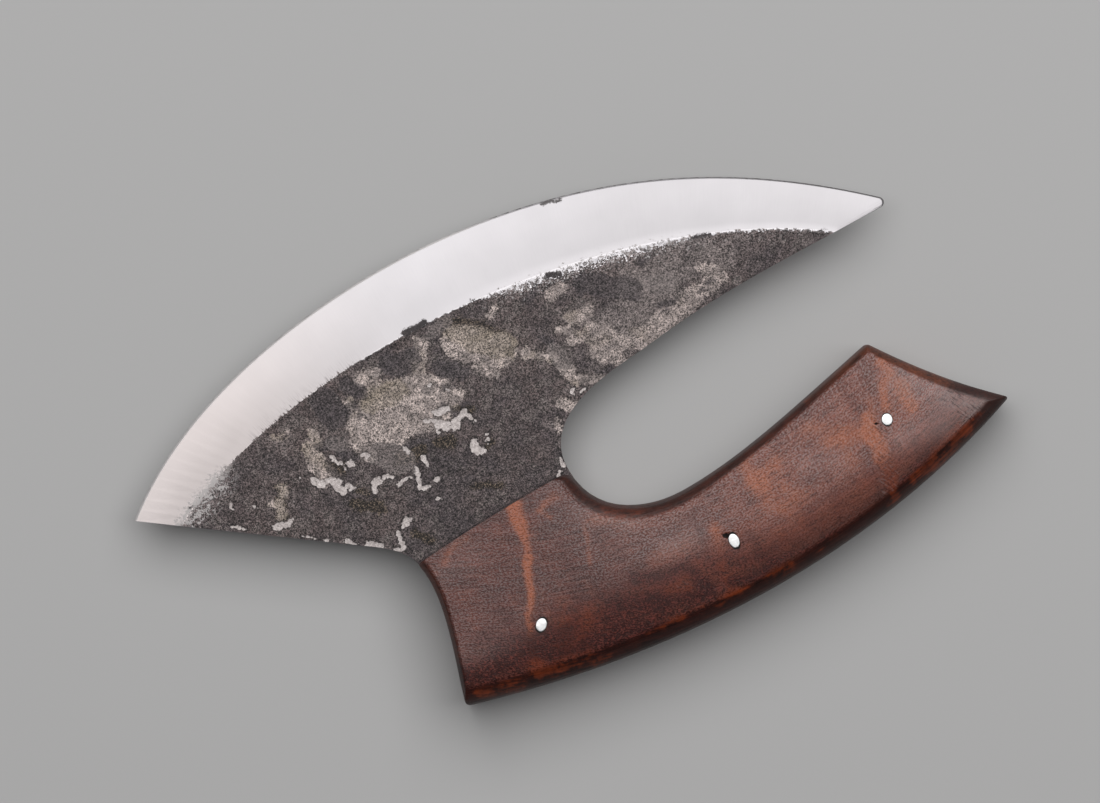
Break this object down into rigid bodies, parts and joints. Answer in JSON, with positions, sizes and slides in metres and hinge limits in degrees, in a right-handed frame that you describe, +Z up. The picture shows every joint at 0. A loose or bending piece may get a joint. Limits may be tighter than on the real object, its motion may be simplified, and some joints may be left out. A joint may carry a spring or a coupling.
{
  "type": "ulu knife",
  "caption": "Kitchen knife with a crescent blade ground to a convex edge, a short neck and a curved pinned wooden handle set behind it.",
  "frame": {"origin": "middle of the outline seen from above, on the plane that the knife's lower scale rests on", "axes": "+X along the chord of the cutting edge from the heel to the tip, +Y from the handle to the cutting edge, +Z up out of the upper scale"},
  "size_m": [0.1936, 0.1042, 0.02],
  "materials": {
    "forged_steel": "dark forge scale on the flats, satin ground bevel along the edge",
    "curly_wood": "oiled, satin gloss, reddish-brown with an orange figure",
    "epoxy": "hard dark adhesive",
    "pin_metal": "sanded flush"
  },
  "bodies": {
    "root": {"blade": "forged_steel", "upper_scale": "curly_wood", "lower_scale": "curly_wood", "upper_glue_line": "epoxy", "lower_glue_line": "epoxy", "front_pin": "pin_metal", "middle_pin": "pin_metal", "rear_pin": "pin_metal"}
  },
  "joints": []
}
